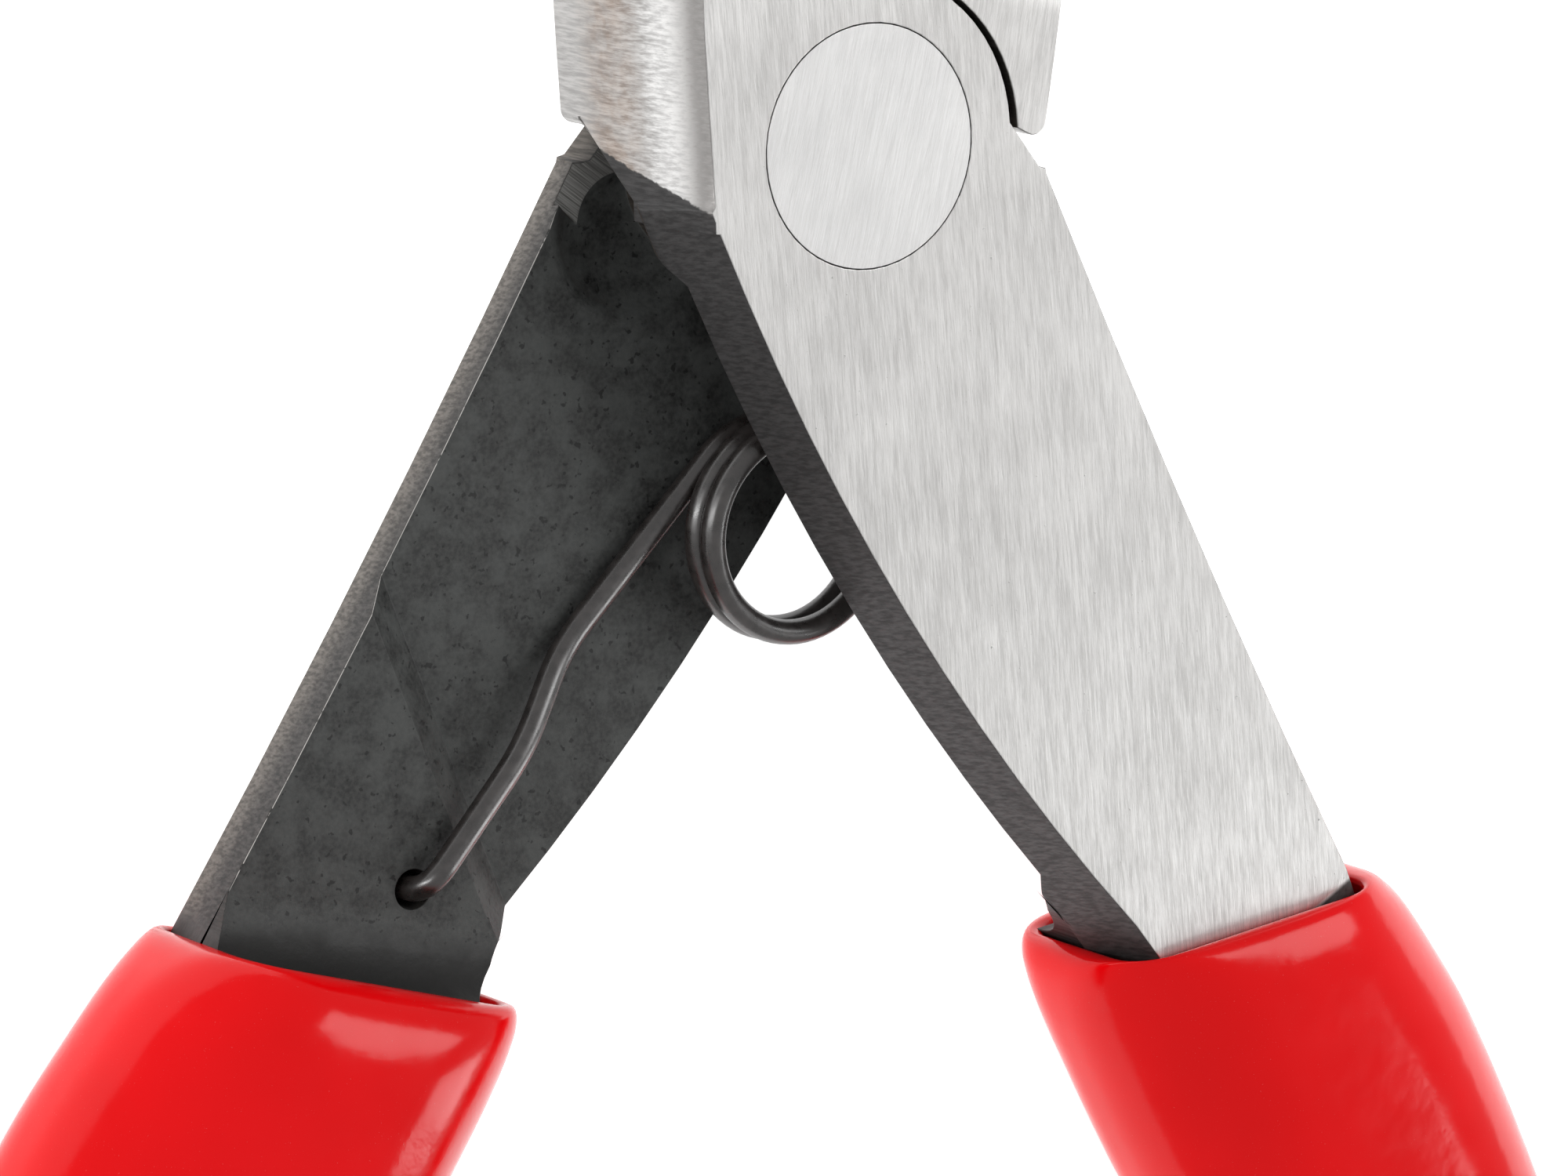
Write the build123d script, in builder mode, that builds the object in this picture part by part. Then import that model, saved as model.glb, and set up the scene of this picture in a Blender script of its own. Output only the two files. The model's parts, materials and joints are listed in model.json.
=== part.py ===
from build123d import *
import os
from math import cos, radians, sin, tan

# Mini flush cutter: two identical lap-jointed forgings on one rivet, a torsion
# spring between the handles and a slip-on sleeve on each tang.  The tool lies on
# its back: +Z is the pivot axis, the jaws point to +Y and the handles to -Y.
# Everything is drawn in the sprung-open rest pose.  All sizes are in mm.

# --- driving dimensions ---------------------------------------------------
thickness = 8.7              # over both forgings
lap = thickness / 2          # height of the plane between the two forgings
lap_gap = 0.03               # running gap at the lap plane, on each forging
half_opening = 16.0          # each half turns this far from closed to rest

boss_radius = 6.3
pocket_radius = 6.5          # pocket in the jaw that clears the other boss
pocket_shift = Vector(-0.13, -0.1)
head_radius = 4.5            # flush rivet heads
head_depth = 1.5
shank_radius = 2.5
rivet_gap = 0.03

jaw_length = 19.5            # pivot to tip
jaw_gap = 0.02               # half the gap between the closed edges
jaw_inset = 0.91             # the jaw's side is this much further in at its own outer face
jaw_crown = 0.3              # and bulges this much halfway up
stop_height = 2.0            # upright foot of the shoulder, then it leans out
stop_lean = 2.1
stop_round = 0.55            # of the upright corner between the foot and the jaw's side
shoulder_line = [Vector(-12, -2.13), Vector(-6.53, 0.50)]     # foot of the shoulder
jaw_foot = Vector(-7.5, -3.0)           # the jaw's outer side, from its foot to the tip
jaw_waist = Vector(-7.8, 0)
jaw_belly = Vector(-8.41, 5.5)
jaw_taper = Vector(-5.0, 13.6)          # tool closed
tip_width = 2.5
blade_side = 1.0             # the jaw is drawn this far past the closed edges, then ground
blade_start = 8.4            # cutting edges run from here to the tips
blade_land = 0.3             # upright land behind each cutting edge
bevel = 22.0                 # inner bevel, from the upright land
tip_rise = 1.6               # front face of the tips above the lap plane
tip_drop = 1.9               # back face of the tips below the lap plane

heel = (-6.8, -2.2)           # ground face: where its inner edge meets the shoulder
inner_mid = (2.1, -17.0)
inner_end = (13.6, -30.2)
outer_start = (8.0, -1.28)
outer_mid = (15.85, -15.7)
outer_end = (24.3, -30.0)
handle_draft = 14.5
root_floor = 1.8             # plate thickness on the milled flat beside the boss
hollow_floor = 1.45          # and at the bottom of the scooped hollow next to it
hollow = Vector(6.2, -3.4)
hollow_sphere = 6.0
root_run = 1.2               # width of the ramp below the milled flat
root_outer = Vector(9.4, -2.5)
root_inner = Vector(5.4, -5.2)
lap_round = 0.9              # rounding of the handle's inner lap edge
coil_floor = 2.65            # plate thickness under the spring coil
neck_floor = 3.75            # plate thickness from the slanted step to the grip
step_top = Vector(16.7, -15.6)
step_bottom = Vector(10.9, -28.5)
step_run = 1.4               # width of the slanted step's ramp
land_run = 1.8               # width of the ramp below the lap land

hole = Vector(15.6, -27.25)  # spring leg hole in the front half
hole_radius = 0.75
hole_floor = 0.9             # metal left between the blind hole and the outer face

wire_radius = 0.475
coil_radius = 3.9            # to the wire's centre
coil_pitch = 1.03
coil_turn = 407.0            # degrees of coil on each arm
coil_start = 137.0           # where the rear leg leaves the coil
coil_y = -14.68
leg_bend = Vector(-9.2, -18.85)         # each leg leaves the coil at its level as far as here,
leg_knee = Vector(-11.3, -22.3, 4.2)    # climbs past here
leg_top = 4.65                          # and drops into its hole from here
leg_round = 0.8

tang_width = 9.2
tang_height = 5.5
tang_lead = 3.2              # the neck starts to rise to the tang this far outside the grip
tang_entry = 1.2             # and is as wide as the handle until this far inside it
neck_plan = [(11.9, -29.5), (12.45, -30.3), (14.9, -32.45), (15.0, -36.0), (29.45, -36.0), (19.69, -20.97),
             (15.73, -20.97)]    # the rise stays inside this, clear of the slanted step
grip_width = 14.8
grip_height = 11.6
grip_corner = 5.2
mouth = Vector(10.4, -34.7)  # centre of the grip's mouth, tool closed
flare = 17.0                 # the grip leaves the neck at this angle, closed
grip_run = 9.0               # straight, then a long arc, then straight
grip_bend = 90.0
grip_turn = 25.0
grip_tail = 15.0
grip_lead = 5.0              # the sleeve is swept from here and cut at its mouth
mouth_slope = 10.7           # the front grip's mouth rises outwards by this much, at rest
back_mouth_slope = 13.5
back_advance = 1.0           # the back grip sits this much further up its tang
mouth_depth = 6.5            # the sleeve opens out over this length
mouth_width = 13.3           # of the opening where the sweep starts
mouth_height = 10.2

upward = Vector(0, 0, 1)
pivot = Axis((0, 0, 0), (0, 0, 1))
flip = Axis((0, 0, lap), (0, 1, 0))


def closed(x, y):
    """A point of the front half given with the tool closed, turned to rest."""
    return Vector(x, y).rotate(pivot, half_opening)


def side_plane(origin, along):
    """Upright plane along a direction: its X runs along, its Y is up."""
    return Plane(origin=origin, x_dir=along, z_dir=along.cross(upward))


# --- tang and grip centre line ----------------------------------------------
heading = closed(sin(radians(flare)), -cos(radians(flare)))
mouth_rest = closed(mouth.X, mouth.Y) + upward * lap


def centre_line(before, tail):
    """Centre line that starts this far before the mouth of the grip."""
    with BuildLine() as path:
        run = Line(mouth_rest - heading * before, mouth_rest + heading * grip_run)
        bend = JernArc(run @ 1, run % 1, grip_bend, -grip_turn)
        if tail > 0:
            Line(bend @ 1, bend @ 1 + (bend % 1) * tail)
    return path.wire()


def across(path, at=0.0):
    """Plane across a path, its X in the plane of the tool."""
    along = path % at
    return Plane(origin=path @ at, x_dir=upward.cross(along), z_dir=along)


# --- outlines of a forging ---------------------------------------------------
def handle_outline():
    """Ground outer face of the handle, from the joint to inside the grip."""
    with BuildSketch(Plane.XY.offset(thickness)) as face:
        with BuildLine():
            Polyline(heel, (-5.5, 0), (-1, 3.5), (6.27, 1.4), (7.9, -0.3), outer_start)
            ThreePointArc(outer_start, outer_mid, outer_end)
            Polyline(outer_end, (26.2, -33.2), (16.2, -33.2), inner_end)
            ThreePointArc(inner_end, inner_mid, heel)
        make_face()
    return face.sketch


def handle():
    """Drafted plate of the handle, its inner lap edge rounded."""
    with BuildPart() as plate:
        extrude(handle_outline(), amount=lap_gap - lap, taper=-handle_draft)
        lap_edges = plate.faces().sort_by(Axis.Z)[0].edges()
        fillet(lap_edges.sort_by_distance((*inner_mid, lap))[0], lap_round)
        # the drafted side ends at the shoulder instead of standing proud of the jaw
        with BuildSketch():
            Polygon((-7.0, -2.12), (-7.0, 6), (-12, 6), (-12, -4.5), align=None)
        extrude(amount=thickness, mode=Mode.SUBTRACT)
    return plate.part


def jaw_section(level, inset):
    """Jaw across one level; its outer side stands back by the inset."""
    shift = Vector(inset, 0)
    corner = jaw_foot + shift
    tip = closed(-tip_width, jaw_length) + shift
    taper = closed(jaw_taper.X, jaw_taper.Y) + shift
    with BuildSketch(Plane.XY.offset(level)) as face:
        with BuildLine():
            Polyline((-3.0, jaw_foot.Y), closed(blade_side, 3.0), closed(blade_side, jaw_length), tip)
            Spline(tip, taper, jaw_belly + shift, jaw_waist + shift, corner)
            Line(corner, (-3.0, jaw_foot.Y))
        make_face()
    return face.sketch


def lap_region(*points):
    """Area of the plate's lap side around the boss."""
    with BuildSketch(Plane.XY.offset(lap - lap_gap)) as region:
        Polygon(*points, align=None)
        Circle(boss_radius, mode=Mode.SUBTRACT)
    return region.sketch


land_left = Vector(-8.5, -5.9)      # the lap land ends on this line, beside the boss
land_right = Vector(-4.2, -4.7)
coil_region = lap_region(land_right, (0, 3), (10, 3), (20, -12), step_top, step_bottom, (9, -34), (-8, -12),
                         land_left)
root_region = lap_region((2, 7), (14, 4), (14, -6), root_outer, root_inner, (2, 0))
neck_region = lap_region(step_top, (34, -15), (34, -40), (8, -40), step_bottom)


def ramp(start, end, deep, shallow, run, reach):
    """Wedge that slopes one floor up to the next, on the right of the line from start to end."""
    along = (end - start).normalized()
    foot = start - along * reach + upward * (thickness - shallow)
    with BuildPart() as wedge:
        with BuildSketch(Plane(origin=foot, x_dir=upward.cross(along), z_dir=along)):
            Polygon((0, -1), (run, -1), (run, 0), (0, shallow - deep), align=None)
        extrude(amount=(end - start).length + 2 * reach)
    return wedge.part


def shoulder():
    """What the jaw loses below its shoulder, upright beside the other half's stop, then leaning out."""
    start = shoulder_line[0]
    along = (shoulder_line[1] - start).normalized()
    layer = lap + lap_gap
    with BuildPart() as block:
        with BuildSketch(Plane(origin=start, x_dir=upward.cross(along), z_dir=along)):
            Polygon((0, -1), (0, stop_height), (-stop_lean, layer), (-14, layer), (-14, -1), align=None)
        extrude(amount=30)
    return block.part


def tang():
    """Full-width neck rising towards the tang, parallel to the mouth, and the tang inside the grip."""
    foot = lap - tang_height / 2
    floor = thickness - neck_floor
    slope = radians(mouth_slope)
    down = Vector(sin(slope), -cos(slope))
    rise = side_plane(mouth_rest - upward * lap - down * tang_lead, down)
    inside = tang_lead + tang_entry
    bend = floor - foot
    half_way = bend * sin(radians(45))
    path = centre_line(tang_lead, 0)
    with BuildPart() as neck:
        extrude(handle_outline(), amount=foot - thickness, taper=-handle_draft)
        with BuildSketch(rise):
            with BuildLine():
                ThreePointArc((0, floor), (half_way, foot + half_way), (bend, foot))
                Polyline((bend, foot), (inside, foot), (inside, floor + 0.3), (0, floor + 0.3), (0, floor))
            make_face()
        extrude(amount=grip_width, both=True, mode=Mode.INTERSECT)
        with BuildSketch():
            Polygon(*neck_plan, align=None)
        extrude(amount=thickness, mode=Mode.INTERSECT)
    with BuildPart() as bar:
        with BuildSketch(across(path)):
            Rectangle(tang_width, tang_height)
        sweep(path=path)
        with BuildSketch(rise):
            Rectangle(20, 20, align=(Align.MAX, Align.CENTER))
            Rectangle(tang_lead + 0.4, 20, align=(Align.MIN, Align.CENTER))
        extrude(amount=grip_width, both=True, mode=Mode.SUBTRACT)
        add(neck)
    return bar.part


def end_slope():
    """What the outer face loses once it is inside the grip."""
    with BuildPart() as slope:
        with BuildSketch(side_plane(mouth_rest - upward * lap, heading)):
            top = lap + tang_height / 2
            Polygon((0.8, thickness), (5.0, top), (10, top), (10, thickness + 1), (0.8, thickness + 1),
                    align=None)
        extrude(amount=tang_width, both=True)
    return slope.part


def forging():
    """The front half before its jaw is ground: handle to the right, jaw to the left."""
    layer = lap - lap_gap
    scoop = hollow + upward * (thickness - hollow_floor - hollow_sphere)
    with BuildPart() as half:
        add(jaw_section(0, 0))
        add(jaw_section(lap, jaw_inset / 2 - jaw_crown))
        add(jaw_section(thickness, jaw_inset))
        loft()
        add(shoulder(), mode=Mode.SUBTRACT)
        fillet(half.edges().sort_by_distance((jaw_waist.X, -0.1, stop_height / 2))[0], stop_round)
        add(handle())
        # upright stop faces beside the other jaw
        with BuildSketch():
            Polygon((3, 8), (6.27, 0.66), (7.66, -1.0), (8.0, -1.09), (11, -1.09), (11, 8), align=None)
        extrude(amount=thickness, mode=Mode.SUBTRACT)
        # pocket for the other half's boss
        with BuildSketch():
            with Locations(pocket_shift):
                Circle(pocket_radius)
        extrude(amount=thickness - layer, mode=Mode.SUBTRACT)
        # upright blade side and the relief between the joint and the cutting edges
        with BuildSketch(Plane.XY.rotated((0, 0, half_opening))):
            with Locations((-jaw_gap, 0)):
                Rectangle(14, 30, align=(Align.MIN, Align.MIN))
            with Locations((0, blade_start / 2)):
                Rectangle(0.6, blade_start)
        extrude(amount=thickness, mode=Mode.SUBTRACT)
        # lap-side reliefs
        extrude(coil_region, amount=thickness - coil_floor - layer, mode=Mode.SUBTRACT)
        extrude(root_region, amount=thickness - root_floor - layer, mode=Mode.SUBTRACT)
        extrude(neck_region, amount=thickness - neck_floor - layer, mode=Mode.SUBTRACT)
        add(ramp(step_top, step_bottom, coil_floor, neck_floor, step_run, 4), mode=Mode.SUBTRACT)
        add(ramp(land_left, land_right, coil_floor, layer, land_run, 1), mode=Mode.SUBTRACT)
        add(ramp(root_inner, root_outer, root_floor, coil_floor, root_run, 0), mode=Mode.SUBTRACT)
        with Locations(scoop):
            Sphere(hollow_sphere, mode=Mode.SUBTRACT)
        # boss
        with BuildSketch(Plane.XY.offset(thickness)):
            Circle(boss_radius)
        extrude(amount=-layer)
        # tang, and the outer face sloping in inside the grip
        add(end_slope(), mode=Mode.SUBTRACT)
        add(tang())
        with Locations((0, 0, thickness)):
            CounterBoreHole(shank_radius + rivet_gap, head_radius + rivet_gap, head_depth, 2 * thickness)
        # blind hole for the spring leg, drilled from the lap side
        with BuildSketch(Plane.XY.offset(thickness - hole_floor)):
            with Locations(hole):
                Circle(hole_radius)
        extrude(amount=-neck_floor, mode=Mode.SUBTRACT)
    return half.part


def grinding(side):
    """What is ground off a closed jaw: both face tapers and the inner bevel."""
    reach = 2.0 * jaw_length
    rise = (thickness - lap - tip_rise) / (jaw_length - blade_start + 0.6)
    drop = (lap - tip_drop) / (jaw_length - blade_start + 0.6)
    start = blade_start - 0.6
    with BuildPart() as cut:
        with BuildSketch(Plane.YZ):
            Polygon((start, thickness), (reach, thickness - rise * (reach - start)), (reach, 20), (start, 20),
                    align=None)
            Polygon((start, 0), (reach, drop * (reach - start)), (reach, -20), (start, -20), align=None)
        extrude(amount=15, both=True)
        edge = Vector(0, 1, -rise).normalized()
        origin = Vector(0, blade_start, thickness - blade_land - rise * 0.6)
        with BuildSketch(Plane(origin=origin, x_dir=(1, 0, 0), z_dir=edge)):
            Polygon((side, 0), (0, 0), (-side * 12 * tan(radians(bevel)), 12), (side, 12), align=None)
        extrude(amount=reach)
    return cut.part.rotate(pivot, -side * half_opening)


# --- the two halves ----------------------------------------------------------
with BuildPart() as front_half:
    add(forging())
    add(grinding(1).rotate(pivot, 2 * half_opening), mode=Mode.SUBTRACT)
front_half.part.label = "front_half"

with BuildPart() as back_half:
    add(forging().rotate(flip, 180))
    add(grinding(-1).rotate(pivot, -2 * half_opening), mode=Mode.SUBTRACT)
back_half.part.label = "back_half"

# --- rivet with two flush heads ----------------------------------------------
with BuildPart() as pivot_rivet:
    Cylinder(shank_radius, thickness, align=(Align.CENTER, Align.CENTER, Align.MIN))
    Cylinder(head_radius, head_depth - rivet_gap, align=(Align.CENTER, Align.CENTER, Align.MIN))
    with Locations((0, 0, thickness)):
        Cylinder(head_radius, head_depth - rivet_gap, align=(Align.CENTER, Align.CENTER, Align.MAX))
pivot_rivet.part.label = "pivot_rivet"


# --- torsion spring ------------------------------------------------------------
def spring_arm():
    """The arm behind the front half's coil plane: half the coil and the left leg."""
    rise = coil_pitch * coil_turn / 360
    helix = Helix(coil_pitch, rise, coil_radius, lefthand=True, mode=Mode.PRIVATE).rotate(Axis.Z, coil_start)
    with BuildPart() as arm:
        with BuildLine() as coil:
            add(helix.translate((0, coil_y, lap - rise)))
        with BuildSketch(Plane(origin=coil.line @ 0, z_dir=coil.line % 0)):
            Circle(wire_radius)
        sweep(path=coil.line, is_frenet=True)
        low = (coil.line @ 0).Z
        with BuildLine() as leg:
            FilletPolyline(coil.line @ 0, leg_bend + upward * (low + 0.05), leg_knee, (-hole.X, hole.Y, leg_top),
                           (-hole.X, hole.Y, hole_floor + 0.3), radius=leg_round)
        with BuildSketch(Plane(origin=leg.line @ 0, z_dir=leg.line % 0)):
            Circle(wire_radius)
        sweep(path=leg.line)
    return arm.part


with BuildPart() as spring_rear_arm:
    add(spring_arm())
spring_rear_arm.part.label = "spring_rear_arm"

with BuildPart() as spring_front_arm:
    add(spring_arm().rotate(flip, 180))
spring_front_arm.part.label = "spring_front_arm"


# --- slip-on grips ---------------------------------------------------------------
def sleeve(slope, advance):
    """Grip sleeve on the front half's tang, its mouth cut at this slope and this far up."""
    whole = centre_line(grip_lead, grip_tail)
    inner = centre_line(grip_lead, 0)
    rim = Vector(cos(radians(slope)), sin(radians(slope)))
    with BuildPart() as grip:
        with BuildSketch(across(whole)):
            RectangleRounded(grip_width, grip_height, grip_corner)
        sweep(path=whole)
        fillet(grip.faces().sort_by(Axis.Y)[0].edges(), 3.0)
        # opening, wide at the mouth and closing in on the tang
        with BuildSketch(across(inner)):
            RectangleRounded(mouth_width, mouth_height, 2.5)
        with BuildSketch(across(inner).offset(grip_lead + mouth_depth)):
            RectangleRounded(tang_width + 0.04, tang_height + 0.04, 0.5)
        loft(mode=Mode.SUBTRACT)
        with BuildSketch(across(inner)):
            Rectangle(tang_width + 0.04, tang_height + 0.04)
        sweep(path=inner, mode=Mode.SUBTRACT)
        split(bisect_by=Plane(origin=mouth_rest - heading * advance, x_dir=rim, z_dir=rim.cross(upward)), keep=Keep.TOP)
    return grip.part


with BuildPart() as front_grip:
    add(sleeve(mouth_slope, 0))
front_grip.part.label = "front_grip"

with BuildPart() as back_grip:
    add(sleeve(back_mouth_slope, back_advance).rotate(flip, 180))
back_grip.part.label = "back_grip"

# --- export ---------------------------------------------------------------------
os.makedirs("parts", exist_ok=True)
pieces = [front_half, back_half, pivot_rivet, spring_rear_arm, spring_front_arm, front_grip, back_grip]
for piece in pieces:
    export_step(piece.part, f"parts/{piece.part.label}.step")
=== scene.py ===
import json
import math
import bmesh
import bpy
from mathutils import Matrix, Vector


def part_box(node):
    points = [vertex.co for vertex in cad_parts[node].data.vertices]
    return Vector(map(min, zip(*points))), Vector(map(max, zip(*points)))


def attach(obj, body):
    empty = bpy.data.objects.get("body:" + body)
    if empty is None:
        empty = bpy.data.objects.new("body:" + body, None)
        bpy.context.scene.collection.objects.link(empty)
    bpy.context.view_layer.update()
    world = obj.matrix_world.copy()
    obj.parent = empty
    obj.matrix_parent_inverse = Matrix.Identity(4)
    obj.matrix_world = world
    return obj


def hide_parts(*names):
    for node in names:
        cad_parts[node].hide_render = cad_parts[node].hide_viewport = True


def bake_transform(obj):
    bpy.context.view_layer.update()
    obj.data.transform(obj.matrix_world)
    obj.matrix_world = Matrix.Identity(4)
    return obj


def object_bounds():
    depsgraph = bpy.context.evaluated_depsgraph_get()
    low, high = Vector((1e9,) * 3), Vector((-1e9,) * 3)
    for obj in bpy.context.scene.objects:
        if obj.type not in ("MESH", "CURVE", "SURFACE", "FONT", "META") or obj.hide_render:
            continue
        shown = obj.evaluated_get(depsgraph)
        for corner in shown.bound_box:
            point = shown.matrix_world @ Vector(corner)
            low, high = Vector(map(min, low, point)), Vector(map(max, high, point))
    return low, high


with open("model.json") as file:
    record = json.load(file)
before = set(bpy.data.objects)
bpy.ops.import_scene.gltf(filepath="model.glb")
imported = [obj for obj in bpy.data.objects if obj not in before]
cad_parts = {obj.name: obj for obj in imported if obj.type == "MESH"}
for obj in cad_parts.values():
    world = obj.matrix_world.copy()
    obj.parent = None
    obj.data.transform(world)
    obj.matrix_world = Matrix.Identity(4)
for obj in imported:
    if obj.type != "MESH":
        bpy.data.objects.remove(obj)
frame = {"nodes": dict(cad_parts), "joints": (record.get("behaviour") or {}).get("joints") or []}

cad_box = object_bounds()
MM = 0.001
nodes = frame["nodes"]

# --- facts taken from the frame, in metres ----------------------------------------
rivet_low, rivet_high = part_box("pivot_rivet")
BACK = rivet_low.z                               # outer faces of the two halves
FRONT = rivet_high.z
LAP = (BACK + FRONT) / 2
joint = {j["name"]: j for j in frame["joints"]}
HOLE = Vector(joint["spring_leg_pivot"]["pos_m"])
COIL = Vector(joint["spring_coil"]["pos_m"])
FLOOR = cad_box[0].z

# --- the drawn sizes, in millimetres, as in the CAD model ----------------------------
HALF_OPENING = 16.0                              # degrees each half is turned at rest
WIRE_RADIUS = 0.475
COIL_RADIUS = 3.9
COIL_PITCH = 1.03                                # rise of one turn
COIL_TURN = 407.0                                # degrees of coil on each side of its middle
COIL_START = 137.0                               # direction from +X where the rear leg meets the coil
LEG_END = 1.2                                    # height of the wire's end in its hole
LEG_ROUTE = ((-9.2, -18.85, 3.24), (-11.3, -22.3, 4.2))
LEG_TOP = 4.65                                   # height from which the leg drops into its hole
LEG_ROUND = 1.3                                  # radius of its bends
MOUTH = Vector((10.4, -34.7))                    # middle of the front grip's mouth, tool closed
FLARE = 17.0                                     # degrees the grip leans outward there
GRIP_RUN = 9.0                                   # straight, then a curve, then straight again
GRIP_BEND = 90.0                                 # radius of the curve
GRIP_TURN = 25.0                                 # degrees of the curve
GRIP_TAIL = 15.0
MOUTH_SLOPE = 10.7                               # of the front grip's rim
BACK_MOUTH_SLOPE = 13.5
BACK_ADVANCE = 1.0                               # the back grip sits this much further up its tang
ADVANCE_FADE = 10.0                              # and is in line again this far below its mouth
SLANT_FADE = 15.0                                # the rim's slant has gone this far below the mouth
GRIP_WIDTH = 14.8
GRIP_HEIGHT = 11.6
GRIP_CORNER = 5.2
BORE_WIDTH = 9.3                                 # round the tang
BORE_HEIGHT = 5.6
BORE_CORNER = 0.5
BORE_TOP = 6.5                                   # the bore widens from here up to the opening
OPENING_WIDTH = 10.5                             # at the mouth, a little to the inner side
OPENING_HEIGHT = 7.5
OPENING_CORNER = 1.4
OPENING_SHIFT = -0.2
OPENING_LIFT = 0.62
RIM = 0.1                                        # top of the lip, below the mouth's plane
LIP = 0.35                                       # inner radius of the lip
LIP_RUN = 4.2                                    # the lip reaches the full section this far below the rim
SWELL = 0.9                                      # the grip is this much wider further down
DOME = 6.0                                       # length of the domed end
MILLED_LEVEL = 6.88                              # height of the milled flat beside the boss
CROWN = 0.75                                     # the middle of each face stands this much proud


# --- small helpers ---------------------------------------------------------------
def turned(x, y, degrees):
    a = math.radians(degrees)
    return Vector((x * math.cos(a) - y * math.sin(a), x * math.sin(a) + y * math.cos(a)))


def smooth_object(name, bm):
    mesh = bpy.data.meshes.new(name)
    bmesh.ops.recalc_face_normals(bm, faces=bm.faces)
    bm.to_mesh(mesh)
    bm.free()
    mesh.polygons.foreach_set("use_smooth", [True] * len(mesh.polygons))
    obj = bpy.data.objects.new(name, mesh)
    bpy.context.scene.collection.objects.link(obj)
    return obj


def skin_rings(rings, name):
    """Closed surface through rings of points, each end closed by a fan."""
    bm = bmesh.new()
    loops = [[bm.verts.new(p) for p in ring] for ring in rings]
    for one, two in zip(loops, loops[1:]):
        for i in range(len(one)):
            j = (i + 1) % len(one)
            bm.faces.new((one[i], one[j], two[j], two[i]))
    for loop in (loops[0], loops[-1]):
        middle = bm.verts.new(sum((v.co for v in loop), Vector()) / len(loop))
        for i in range(len(loop)):
            bm.faces.new((loop[i], loop[(i + 1) % len(loop)], middle))
    return smooth_object(name, bm)


def flip_half(points):
    """The same points on the other half: half a turn about the tool's long axis."""
    return [Vector((-p.x, p.y, 2 * LAP - p.z)) for p in points]


# --- camera ------------------------------------------------------------------------
CAMERA_TARGET = Vector((-0.14 * MM, -17.0 * MM, LAP))


def make_camera(azimuth=34.2, elevation=9.4, roll=2.0, distance=0.3165, lens=195.4):
    """The tool stands upright in the picture: up is +Y and the camera looks at its front."""
    a, e, r = (math.radians(v) for v in (azimuth, elevation, roll))
    look = Vector((math.sin(a) * math.cos(e), -math.sin(e), -math.cos(a) * math.cos(e)))
    right = look.cross(Vector((0, 1, 0))).normalized()
    up = right.cross(look)
    right, up = right * math.cos(r) + up * math.sin(r), up * math.cos(r) - right * math.sin(r)
    data = bpy.data.cameras.new("camera")
    data.lens = lens
    data.sensor_width = 36
    data.clip_start = 0.01
    data.clip_end = 10
    camera = bpy.data.objects.new("camera", data)
    bpy.context.scene.collection.objects.link(camera)
    turn = Matrix((right, up, -look)).transposed().to_4x4()
    camera.matrix_world = Matrix.Translation(CAMERA_TARGET - look * distance) @ turn
    bpy.context.scene.camera = camera


# --- studio ------------------------------------------------------------------------
def make_light(name, toward, distance, size, radiance, aim=(0, -0.02, 0)):
    """A soft panel in one direction from the tool, facing it."""
    place = Vector(aim) + Vector(toward).normalized() * distance
    data = bpy.data.lights.new(name, "AREA")
    data.shape = "RECTANGLE"
    data.size, data.size_y = size
    data.energy = radiance * math.pi * size[0] * size[1]
    light = bpy.data.objects.new(name, data)
    light.location = place
    light.rotation_mode = "QUATERNION"
    light.rotation_quaternion = (Vector(aim) - place).to_track_quat("-Z", "Y")
    bpy.context.scene.collection.objects.link(light)


def make_studio():
    bm = bmesh.new()
    bmesh.ops.create_grid(bm, x_segments=1, y_segments=1, size=1.5)
    floor = smooth_object("floor", bm)
    floor.location = (0, 0, FLOOR - 0.0001)
    g = Graph("floor")
    g.set("Base Color", (0.6, 0.6, 0.6, 1))
    g.set("Roughness", 0.8)
    g.set("Emission Color", (1, 1, 1, 1))
    g.set("Emission Strength", 0.92)
    floor.data.materials.append(g.material)

    world = bpy.data.worlds.new("world")
    bpy.context.scene.world = world
    world.use_nodes = True
    background = world.node_tree.nodes["Background"]
    background.inputs["Color"].default_value = (1, 1, 1, 1)
    background.inputs["Strength"].default_value = 0.45
    make_light("key", (0.58, 0.36, 0.73), 0.5, (0.26, 0.20), 4.6)
    make_light("low", (0.84, -0.34, 0.42), 0.5, (0.12, 0.30), 4.6)
    make_light("strip", (-0.95, 0.10, 0.30), 0.5, (0.05, 0.40), 12.0)
    bpy.context.scene.view_settings.view_transform = "Standard"


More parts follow.
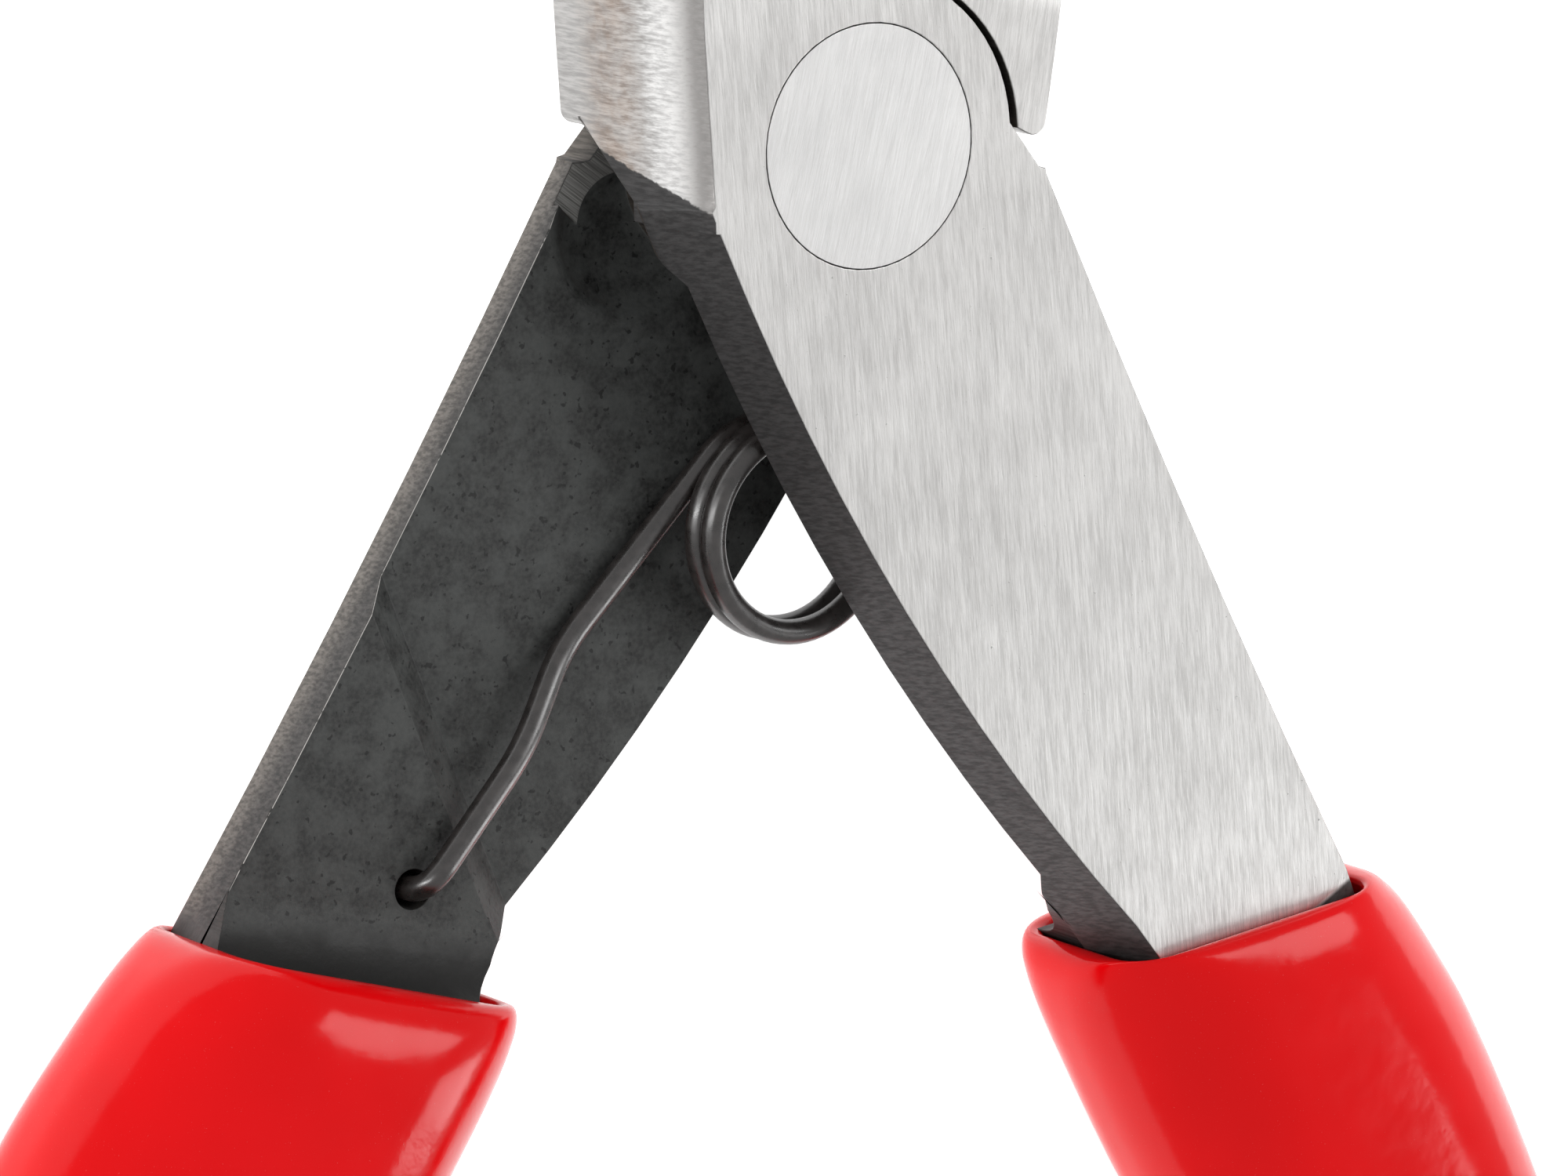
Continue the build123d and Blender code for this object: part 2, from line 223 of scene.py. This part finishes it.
# --- material graphs -----------------------------------------------------------------
class Graph:
    """A Principled material and short calls for the nodes that feed it."""

    def __init__(self, name):
        self.material = bpy.data.materials.new(name)
        self.material.use_nodes = True
        self.tree = self.material.node_tree
        self.shader = self.tree.nodes["Principled BSDF"]

    def set(self, socket, value):
        if isinstance(value, bpy.types.NodeSocket):
            self.tree.links.new(value, self.shader.inputs[socket])
        else:
            self.shader.inputs[socket].default_value = value

    def node(self, kind, settings=None, **inputs):
        made = self.tree.nodes.new(kind)
        for name, value in (settings or {}).items():
            setattr(made, name, value)
        for name, value in inputs.items():
            self.feed(made.inputs[name.replace("_", " ")], value)
        return made

    def feed(self, socket, value):
        if isinstance(value, bpy.types.NodeSocket):
            self.tree.links.new(value, socket)
        else:
            socket.default_value = value

    def math(self, operation, a, b=0.0, c=0.0):
        made = self.tree.nodes.new("ShaderNodeMath")
        made.operation = operation
        for socket, value in zip(made.inputs, (a, b, c)):
            self.feed(socket, value)
        return made.outputs[0]

    def ramp(self, value, low, high, start=0.0, end=1.0):
        """Smooth step of a value from low to high."""
        made = self.node("ShaderNodeMapRange", {"interpolation_type": "SMOOTHSTEP"}, Value=value)
        for name, number in (("From Min", low), ("From Max", high), ("To Min", start), ("To Max", end)):
            made.inputs[name].default_value = number
        return made.outputs[0]

    def mix(self, share, a, b):
        made = self.tree.nodes.new("ShaderNodeMix")
        made.data_type = "RGBA"
        self.feed(made.inputs[0], share)
        self.feed(made.inputs[6], a)
        self.feed(made.inputs[7], b)
        return made.outputs[2]

    def blend(self, share, a, b):
        """The same for plain numbers."""
        made = self.tree.nodes.new("ShaderNodeMix")
        made.data_type = "FLOAT"
        self.feed(made.inputs[0], share)
        self.feed(made.inputs[2], a)
        self.feed(made.inputs[3], b)
        return made.outputs[0]

    def product(self, first, *others):
        for other in others:
            first = self.math("MULTIPLY", first, other)
        return first

    def plus(self, value, other, share):
        """A value with this share of another added."""
        return self.math("ADD", value, self.math("MULTIPLY", other, share))

    def centred(self, noise):
        return self.math("SUBTRACT", noise, 0.5)

    def near(self, value, centre, none, full):
        """1 where the value is within full of the centre, down to 0 at none from it."""
        return self.ramp(self.math("ABSOLUTE", self.math("SUBTRACT", value, centre)), none, full)

    def noise(self, vector, scale, detail=3.0, roughness=0.55):
        made = self.node("ShaderNodeTexNoise", Vector=vector, Scale=scale, Detail=detail, Roughness=roughness)
        return made.outputs["Fac"]

    def bump(self, height, distance, strength=1.0):
        made = self.node("ShaderNodeBump", Height=height, Distance=distance, Strength=strength)
        self.set("Normal", made.outputs[0])


# --- materials -------------------------------------------------------------------
def own_place(g, mirrored=False):
    """Place in millimetres in the front half's frame; the back half is the same one flipped."""
    side = -1 if mirrored else 1
    coordinates = g.node("ShaderNodeTexCoord").outputs["Object"]
    place = g.node("ShaderNodeMapping", {"vector_type": "POINT"}, Vector=coordinates)
    place.inputs["Scale"].default_value = (side / MM, 1 / MM, side / MM)
    place.inputs["Location"].default_value = (0, 0, 2 * LAP / MM if mirrored else 0)
    return place.outputs[0]


def own_normal(g, mirrored):
    """Normal in the same frame."""
    side = -1 if mirrored else 1
    coordinates = g.node("ShaderNodeTexCoord").outputs["Normal"]
    normal = g.node("ShaderNodeMapping", {"vector_type": "POINT"}, Vector=coordinates)
    normal.inputs["Scale"].default_value = (side, 1, side)
    return normal.outputs[0]


def stretched(g, place, turn, scale, **noise):
    """Noise drawn out along the direction that is turned this far from +Y."""
    mapped = g.node("ShaderNodeMapping", {"vector_type": "TEXTURE"}, Vector=place)
    mapped.inputs["Rotation"].default_value = (0, 0, math.radians(turn))
    mapped.inputs["Scale"].default_value = [1 / v for v in scale]
    return g.noise(mapped.outputs[0], 1.0, **noise)


def ground_steel(g, place, turn):
    """Colour, roughness and height of a surface ground with a belt along one direction."""
    fine = stretched(g, place, turn, (13, 0.8, 1), detail=5.0, roughness=0.75)
    broad = stretched(g, place, turn, (4.5, 0.35, 1), detail=2.0)
    stray = stretched(g, place, turn + 6, (20, 0.5, 1), detail=1.0)
    cloud = g.noise(place, 0.30, 2.0)
    tone = g.plus(g.math("MULTIPLY", fine, 0.7), broad, 0.3)
    tone = g.plus(tone, g.centred(cloud), 0.22)
    colour = g.mix(g.ramp(tone, 0.30, 0.70), (0.50, 0.492, 0.482, 1), (0.78, 0.77, 0.757, 1))
    colour = g.mix(g.ramp(stray, 0.66, 0.76, 0, 0.45), colour, (0.84, 0.835, 0.83, 1))
    roughness = g.ramp(fine, 0.3, 0.7, 0.46, 0.36)
    return colour, roughness, tone


class Forging:
    """Where a point of a forging is and which way it faces, in the front half's frame."""

    def __init__(self, g, mirrored):
        self.place = own_place(g, mirrored)
        self.x, self.y, self.z = g.node("ShaderNodeSeparateXYZ", Vector=self.place).outputs
        self.nx, self.ny, self.nz = g.node("ShaderNodeSeparateXYZ", Vector=own_normal(g, mirrored)).outputs


def black_oxide(g, at):
    """Colour, roughness and height: mottled charcoal with specks, brushed and browner on the walls; a painted
    rim highlight high on the outer walls and painted shade on the neck's bend.
    """
    mottle = g.noise(at.place, 0.75, 5.0, 0.62)
    grit = g.noise(at.place, 5.5, 3.0, 0.6)
    pits = g.noise(at.place, 3.2, 2.0, 0.5)
    flat = g.mix(g.ramp(mottle, 0.36, 0.66), (0.022, 0.0228, 0.0222, 1), (0.064, 0.068, 0.066, 1))
    flat = g.mix(g.ramp(grit, 0.30, 0.70, 0.40, 0), flat, (0.090, 0.092, 0.088, 1))
    flat = g.mix(g.ramp(pits, 0.64, 0.70, 0, 0.75), flat, (0.006, 0.006, 0.006, 1))
    # Painted shade: the oxide is darkened where the neck's floor bends up towards the joint, standing in for
    # the shade of the bend.
    neck_bend_painted_shade = g.product(g.ramp(at.ny, 0.12, 0.5), g.ramp(at.y, -27.5, -28.5))
    flat = g.mix(neck_bend_painted_shade, flat, (0.012, 0.0118, 0.011, 1))

    streaks = stretched(g, at.place, 0, (7, 7, 0.7), detail=3.0)
    inner = g.ramp(at.nx, 0.2, -0.2)
    wall = g.mix(g.ramp(streaks, 0.3, 0.7), g.mix(inner, (0.008, 0.007, 0.006, 1), (0.028, 0.027, 0.027, 1)),
                 g.mix(inner, (0.026, 0.021, 0.018, 1), (0.062, 0.060, 0.060, 1)))
    # Painted highlight: the outer walls are lightened to pale brown towards the front face, standing in for a
    # rim light.
    painted_rim_highlight = g.product(g.ramp(at.z, 6.0, 8.6), g.ramp(at.nx, 0.2, 0.4), g.ramp(streaks, 0.3, 0.7, 0.3, 0.8))
    wall = g.mix(painted_rim_highlight, wall, (0.20, 0.175, 0.15, 1))
    lap_edge = g.product(g.near(at.nz, -0.55, 0.36, 0.22), g.ramp(at.nx, 0.0, -0.2), g.ramp(at.y, -11, -6))
    rust = g.mix(g.ramp(grit, 0.35, 0.65), (0.018, 0.013, 0.010, 1), (0.085, 0.066, 0.053, 1))
    wall = g.mix(lap_edge, wall, rust)

    upright = g.product(g.ramp(g.math("ABSOLUTE", at.nz), 0.75, 0.45), g.math("SUBTRACT", 1.0, neck_bend_painted_shade))
    upright = g.math("MAXIMUM", upright, lap_edge)
    roughness = g.blend(upright, g.ramp(mottle, 0.3, 0.7, 0.46, 0.6), g.ramp(streaks, 0.3, 0.7, 0.62, 0.48))
    return g.mix(upright, flat, wall), roughness, g.plus(g.math("MULTIPLY", mottle, 0.8), grit, 0.25)


def milled_flat(g, at):
    """Mask, colour and height of the small flat beside the boss, with the cutter's marks."""
    mask = g.product(g.near(at.z, MILLED_LEVEL, 0.12, 0.05), g.ramp(at.nz, -0.96, -0.985),
                     g.ramp(g.plus(at.y, at.x, -0.675), -8.95, -8.75))
    cuts = stretched(g, at.place, -56, (17, 0.4, 1), detail=3.0)
    colour = g.mix(g.ramp(cuts, 0.35, 0.65), (0.20, 0.197, 0.188, 1), (0.46, 0.455, 0.44, 1))
    return mask, colour, g.math("MULTIPLY", cuts, 0.5)


def worn_line(g, at):
    """Mask of the broken bright line where the oxide has worn off the outer edge of the plate."""
    wear = g.noise(at.place, 1.6, 4.0, 0.7)
    return g.product(g.ramp(at.nz, -0.25, -0.4), g.ramp(at.nz, -0.97, -0.85),
                     g.ramp(g.plus(at.x, at.y, 0.5676), 7.1, 7.3), g.ramp(at.nx, 0.15, 0.3),
                     g.ramp(wear, 0.36, 0.46), g.ramp(at.y, -2.0, -4.0))


def bright_steel(g, at):
    """Colour, roughness and height of the ground outer face and of the polished, tinted side of the head,
    with the side's reflection bands painted in.
    """
    ground, ground_rough, tone = ground_steel(g, at.place, 7.5)
    polish = stretched(g, at.place, 0, (8, 8, 0.8), detail=4.0, roughness=0.65)
    blotch = g.noise(at.place, 1.1, 4.0, 0.6)
    lines = g.ramp(polish, 0.3, 0.7)
    level = g.plus(at.z, g.centred(polish), 1.6)
    side = g.mix(lines, (0.34, 0.332, 0.325, 1), (0.52, 0.51, 0.50, 1))
    # Brown tint with painted shade: the middle of the side is darker and browner, standing in for the dark
    # reflection of the curved side.
    brown_tint_and_shade = g.product(g.near(level, 3.5, 2.3, 0.5), g.ramp(blotch, 0.30, 0.70, 0.35, 1.0))
    side = g.mix(brown_tint_and_shade, side, g.mix(lines, (0.24, 0.195, 0.165, 1), (0.46, 0.40, 0.36, 1)))
    # Painted highlight: a lighter band near the front edge, standing in for the bright reflection of the
    # curved side.
    side = g.mix(g.near(level, 6.5, 1.3, 0.3), side,
                 g.mix(lines, (0.46, 0.455, 0.45, 1), (0.72, 0.715, 0.705, 1)))
    # Painted shade: darker along the front edge, standing in for its dark reflection.
    side = g.mix(g.ramp(level, 7.5, 8.2, 0, 0.75), side, (0.20, 0.192, 0.185, 1))
    facing = g.ramp(g.math("ABSOLUTE", at.nz), 0.75, 0.9)
    roughness = g.blend(facing, g.ramp(polish, 0.3, 0.7, 0.42, 0.30), ground_rough)
    return g.mix(facing, side, ground), roughness, g.math("MULTIPLY", g.blend(facing, polish, tone), 0.25)


def bright_area(g, at):
    """Mask of the bare steel: side of the head down to a ragged slanted edge, jaw, tip and outer face."""
    edge = g.plus(-2.27, g.math("SUBTRACT", FRONT / MM, at.z), 0.285)
    ragged = g.plus(at.y, g.centred(g.noise(at.place, 2.2, 3.0)), 0.35)
    head = g.product(g.ramp(g.math("SUBTRACT", ragged, edge), -0.05, 0.05), g.ramp(at.x, -5.2, -5.6))
    jaw = g.product(g.ramp(at.y, 3.4, 3.6), g.ramp(at.z, 8.0, 7.9))
    tip = g.ramp(at.y, 6.4, 6.5)
    outer = g.plus(at.nz, g.centred(g.noise(at.place, 4.5, 3.0)), 0.8)
    outer = g.product(g.ramp(outer, 0.70, 0.85), g.ramp(at.z, 8.45, 8.55))
    return g.math("MAXIMUM", g.math("MAXIMUM", head, jaw), g.math("MAXIMUM", tip, outer))


def forging_material(name, mirrored):
    g = Graph(name)
    at = Forging(g, mirrored)
    oxide, oxide_rough, oxide_height = black_oxide(g, at)
    milled, milled_colour, milled_height = milled_flat(g, at)
    worn = worn_line(g, at)
    bright, bright_rough, bright_height = bright_steel(g, at)
    shine = bright_area(g, at)

    colour = g.mix(milled, oxide, milled_colour)
    colour = g.mix(worn, colour, (0.62, 0.60, 0.58, 1))
    g.set("Base Color", g.mix(shine, colour, bright))
    g.set("Metallic", g.math("MAXIMUM", shine, g.math("MAXIMUM", g.math("MULTIPLY", milled, 0.6), worn)))
    g.set("Roughness", g.blend(shine, g.blend(milled, oxide_rough, 0.42), bright_rough))
    g.bump(g.blend(milled, g.blend(shine, oxide_height, bright_height), milled_height), 0.00004, 0.9)
    g.set("Specular IOR Level", 0.35)
    return g.material


def rivet_material():
    g = Graph("rivet")
    place = own_place(g)
    colour, roughness, tone = ground_steel(g, place, -12)
    g.set("Base Color", g.mix(0.4, colour, (0.88, 0.88, 0.88, 1)))
    g.set("Metallic", 1.0)
    g.set("Roughness", roughness)
    g.bump(g.math("MULTIPLY", tone, 0.25), 0.00004, 0.9)
    return g.material


def spring_material():
    g = Graph("spring_wire")
    place = own_place(g)
    drawn = g.noise(place, 2.2, 4.0, 0.6)
    fine = g.noise(place, 9.0, 3.0, 0.6)
    colour = g.mix(g.ramp(drawn, 0.3, 0.7), (0.016, 0.013, 0.012, 1), (0.036, 0.030, 0.028, 1))
    g.set("Base Color", g.mix(g.ramp(fine, 0.62, 0.72, 0, 0.5), colour, (0.008, 0.007, 0.007, 1)))
    g.set("Roughness", g.ramp(drawn, 0.3, 0.7, 0.26, 0.34))
    g.set("IOR", 2.0)
    g.bump(fine, 0.000004, 0.4)
    return g.material


def grip_material():
    g = Graph("grip_red")
    place = own_place(g)
    cloud = g.noise(place, 0.09, 3.0)
    peel = g.noise(place, 0.9, 3.0, 0.6)
    dust = g.noise(place, 14.0, 2.0, 0.5)
    colour = g.mix(g.ramp(cloud, 0.3, 0.7), (0.82, 0.0005, 0.002, 1), (0.92, 0.001, 0.004, 1))
    colour = g.mix(g.ramp(dust, 0.70, 0.76, 0, 0.25), colour, (0.8, 0.25, 0.25, 1))
    g.set("Base Color", colour)
    g.set("Roughness", g.ramp(peel, 0.3, 0.7, 0.13, 0.19))
    g.set("Specular IOR Level", 0.26)
    g.set("Subsurface Weight", 0.06)
    g.set("Subsurface Radius", (0.001, 0.0002, 0.0002))
    g.bump(g.math("ADD", peel, g.math("MULTIPLY", dust, 0.04)), 0.00003, 0.5)
    return g.material


def dress(obj, material):
    obj.data.materials.clear()
    obj.data.materials.append(material)


# --- forgings and rivet: the CAD shapes, with their edges broken ---------------------
def break_edges(obj, width):
    weld = obj.modifiers.new("weld", "WELD")
    weld.merge_threshold = 0.000002
    flat = obj.modifiers.new("flat", "DECIMATE")
    flat.decimate_type = "DISSOLVE"
    flat.angle_limit = math.radians(0.6)
    bevel = obj.modifiers.new("edges", "BEVEL")
    bevel.offset_type = "WIDTH"
    bevel.width = width
    bevel.segments = 2
    bevel.limit_method = "ANGLE"
    bevel.angle_limit = math.radians(38)
    bevel.use_clamp_overlap = False
    obj.data.polygons.foreach_set("use_smooth", [True] * len(obj.data.polygons))
    normals = obj.modifiers.new("normals", "WEIGHTED_NORMAL")
    normals.weight = 80
    normals.keep_sharp = False


def make_metal():
    break_edges(nodes["front_half"], 0.00007)
    break_edges(nodes["back_half"], 0.00007)
    break_edges(nodes["pivot_rivet"], 0.00003)
    dress(nodes["front_half"], forging_material("front_forging", False))
    dress(nodes["back_half"], forging_material("back_forging", True))
    dress(nodes["pivot_rivet"], rivet_material())


# --- spring: one wire, two legs and two turns ----------------------------------------
def rounded(points, radius, steps=7):
    """The corners of a run of points, rounded."""
    path = [points[0]]
    for before, corner, after in zip(points, points[1:], points[2:]):
        reach = min(radius, (before - corner).length * 0.45, (after - corner).length * 0.45)
        one = corner + (before - corner).normalized() * reach
        two = corner + (after - corner).normalized() * reach
        for i in range(steps):
            t = i / (steps - 1)
            path.append(one * (1 - t) ** 2 + corner * 2 * t * (1 - t) + two * t * t)
    return path + [points[-1]]


def coil_point(turn):
    """A point of the coil, this many degrees along the wire; the coil is left-handed."""
    angle = math.radians(COIL_START - turn)
    height = LAP / MM + COIL_PITCH * (turn - COIL_TURN) / 360
    return Vector((COIL_RADIUS * math.cos(angle), COIL.y / MM + COIL_RADIUS * math.sin(angle), height))


def make_spring():
    start = coil_point(0)
    hole = Vector((-abs(HOLE.x), HOLE.y, 0)) / MM
    corners = [start] + [Vector(p) for p in LEG_ROUTE]
    corners += [hole + Vector((0, 0, LEG_TOP)), hole + Vector((0, 0, LEG_END))]
    leg = rounded(corners, LEG_ROUND)
    coil = [coil_point(degrees) for degrees in range(5, int(2 * COIL_TURN) + 1, 5)]
    other = [Vector((-p.x, p.y, 2 * LAP / MM - p.z)) for p in leg]
    path = [p * MM for p in list(reversed(leg)) + coil + other]
    rings = []
    across = Vector((1, 0, 0))
    for i, point in enumerate(path):
        along = (path[min(i + 1, len(path) - 1)] - path[max(i - 1, 0)]).normalized()
        across = (across - along * across.dot(along)).normalized()
        side = along.cross(across)
        rings.append([point + (across * math.cos(a) + side * math.sin(a)) * WIRE_RADIUS * MM
                      for a in (math.tau * k / 20 for k in range(20))])
    spring = skin_rings(rings, "torsion_spring")
    dress(spring, spring_material())
    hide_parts("spring_rear_arm", "spring_front_arm")
    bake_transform(spring)


# --- grips -----------------------------------------------------------------------------
GRIP_ARC = math.radians(GRIP_TURN) * GRIP_BEND
GRIP_LENGTH = GRIP_RUN + GRIP_ARC + GRIP_TAIL


def grip_centre(s):
    """Point and direction on the grip's centre line, s millimetres below its mouth, at rest."""
    first = turned(math.sin(math.radians(FLARE)), -math.cos(math.radians(FLARE)), HALF_OPENING)
    point = turned(MOUTH.x, MOUTH.y, HALF_OPENING) + first * min(s, GRIP_RUN)
    bend = min(max(s - GRIP_RUN, 0) / GRIP_BEND, math.radians(GRIP_TURN))
    inward = Vector((first.y, -first.x))
    point += (first * math.sin(bend) + inward * (1 - math.cos(bend))) * GRIP_BEND
    along = first * math.cos(bend) + inward * math.sin(bend)
    point += along * max(s - GRIP_RUN - GRIP_ARC, 0)
    return point, along


def section(width, height, corner, count=96):
    """Points round a rounded rectangle, evenly spread."""
    a, b = width / 2 - corner, height / 2 - corner
    bend = math.pi * corner / 2
    total = 4 * (a + b + bend)
    points = []
    for k in range(count):
        d = total * k / count
        for side, centre in enumerate(((a, b), (-a, b), (-a, -b), (a, -b))):
            start = side * math.pi / 2
            straight = 2 * b if side % 2 == 0 else 2 * a
            if d <= straight:
                out = Vector((math.cos(start), math.sin(start)))
                ahead = Vector((-out.y, out.x))
                points.append(Vector(centre) + out * corner - ahead * (straight - d))
                break
            d -= straight
            if d <= bend:
                angle = start + d / corner
                points.append(Vector(centre) + Vector((math.cos(angle), math.sin(angle))) * corner)
                break
            d -= bend
    return points


def grip_ring(s, width, height, corner, slant, crown=0.0, open_share=0.0):
    """A section of the grip, its faces crowned; towards the mouth it leans with the slanted rim.
    open_share is how much of the opening's shift and lift it takes."""
    point, along = grip_centre(s)
    side = Vector((-along.y, along.x))
    ring = []
    for x, z in section(width, height, corner):
        across, up = 2 * x / width, 2 * z / height
        z -= math.copysign(crown * across ** 2, z) * abs(up)
        x -= math.copysign(crown * 0.6 * up ** 2, x) * abs(across)
        x += OPENING_SHIFT * open_share
        z += OPENING_LIFT * open_share
        place = point + side * x + along * (x * slant)
        ring.append(Vector((place.x * MM, place.y * MM, LAP + z * MM)))
    return ring


def grip_shape(s):
    """Width and height of the grip s millimetres below its mouth: a slight waist, then a swell."""
    waist = 0.5 - 0.5 * math.cos(math.tau * min(max(s - 6, 0) / (GRIP_LENGTH - 6), 1))
    swell = 0.5 - 0.5 * math.cos(math.pi * min(max(s, 0) / 10, 1))
    return GRIP_WIDTH + SWELL * swell - 0.5 * waist, GRIP_HEIGHT - 0.35 * waist


def make_grip(name, body, mirrored, material, mouth_slope, advance):
    rim = math.radians(mouth_slope)
    heading = grip_centre(0)[1]
    rim_line = Vector((math.cos(rim), math.sin(rim)))
    slope = rim_line.dot(heading) / rim_line.dot(Vector((-heading.y, heading.x)))
    dome_start = GRIP_LENGTH - DOME
    rings = []

    def slant(s):
        return slope * (1 - min(max(s, 0) / SLANT_FADE, 1)) ** 1.5

    def add_ring(s, *shape):
        rings.append(grip_ring(s - advance * max(1 - s / ADVANCE_FADE, 0), *shape))

    # inner wall from the bottom of the bore up to the lip
    tang_end = GRIP_RUN + GRIP_ARC + 0.2
    for i in range(21):
        s = tang_end + (BORE_TOP - tang_end) * i / 20
        add_ring(s, BORE_WIDTH, BORE_HEIGHT, BORE_CORNER, slant(s))
    for i in range(1, 9):
        t = i / 8
        s = BORE_TOP + (RIM + LIP - BORE_TOP) * t
        wide = BORE_WIDTH + (OPENING_WIDTH - BORE_WIDTH) * t
        high = BORE_HEIGHT + (OPENING_HEIGHT - BORE_HEIGHT) * t
        corner = BORE_CORNER + (OPENING_CORNER - BORE_CORNER) * t
        add_ring(s, wide, high, corner, slant(s), 0, t)
    # rounded lip: a small inner radius, then a long outer roll
    for i in range(1, 6):
        a = math.radians(18 * i)
        grown = LIP * (1 - math.cos(a))
        add_ring(RIM + LIP * (1 - math.sin(a)), OPENING_WIDTH + 2 * grown, OPENING_HEIGHT + 2 * grown,
                 OPENING_CORNER + grown, slope, 0, 1)
    side_wall = (GRIP_WIDTH - OPENING_WIDTH) / 2 - LIP
    face_wall = (GRIP_HEIGHT - OPENING_HEIGHT) / 2 - LIP
    lip_corner = OPENING_CORNER + LIP
    for i in range(1, 81):
        s = RIM + (dome_start - RIM) * (i / 80) ** 1.6
        wide, high = grip_shape(s)
        left = 1 - min((s - RIM) / LIP_RUN, 1)
        gone = 1 - (1 - left ** 2.4) ** (1 / 2.4)
        add_ring(s, wide - 2 * side_wall * gone, high - 2 * face_wall * gone,
                 GRIP_CORNER + (lip_corner - GRIP_CORNER) * gone, slant(s - 1), CROWN * (1 - gone), gone)
    # the domed end
    wide, high = grip_shape(dome_start)
    for i in range(1, 13):
        u = math.sin(math.radians(7.2 * i))
        scale = (1 - u ** 2.8) ** (1 / 2.2)
        add_ring(dome_start + DOME * u, wide * scale, high * scale, GRIP_CORNER * scale, 0, CROWN * scale)
    if mirrored:
        rings = [flip_half(ring) for ring in rings]
    grip = skin_rings(rings, name)
    dress(grip, material)
    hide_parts(body + "_grip")
    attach(grip, body)


make_camera()
make_studio()
make_metal()
make_spring()
grip_red = grip_material()
make_grip("front_sleeve", "front", False, grip_red, MOUTH_SLOPE, 0)
make_grip("back_sleeve", "back", True, grip_red, BACK_MOUTH_SLOPE, BACK_ADVANCE)
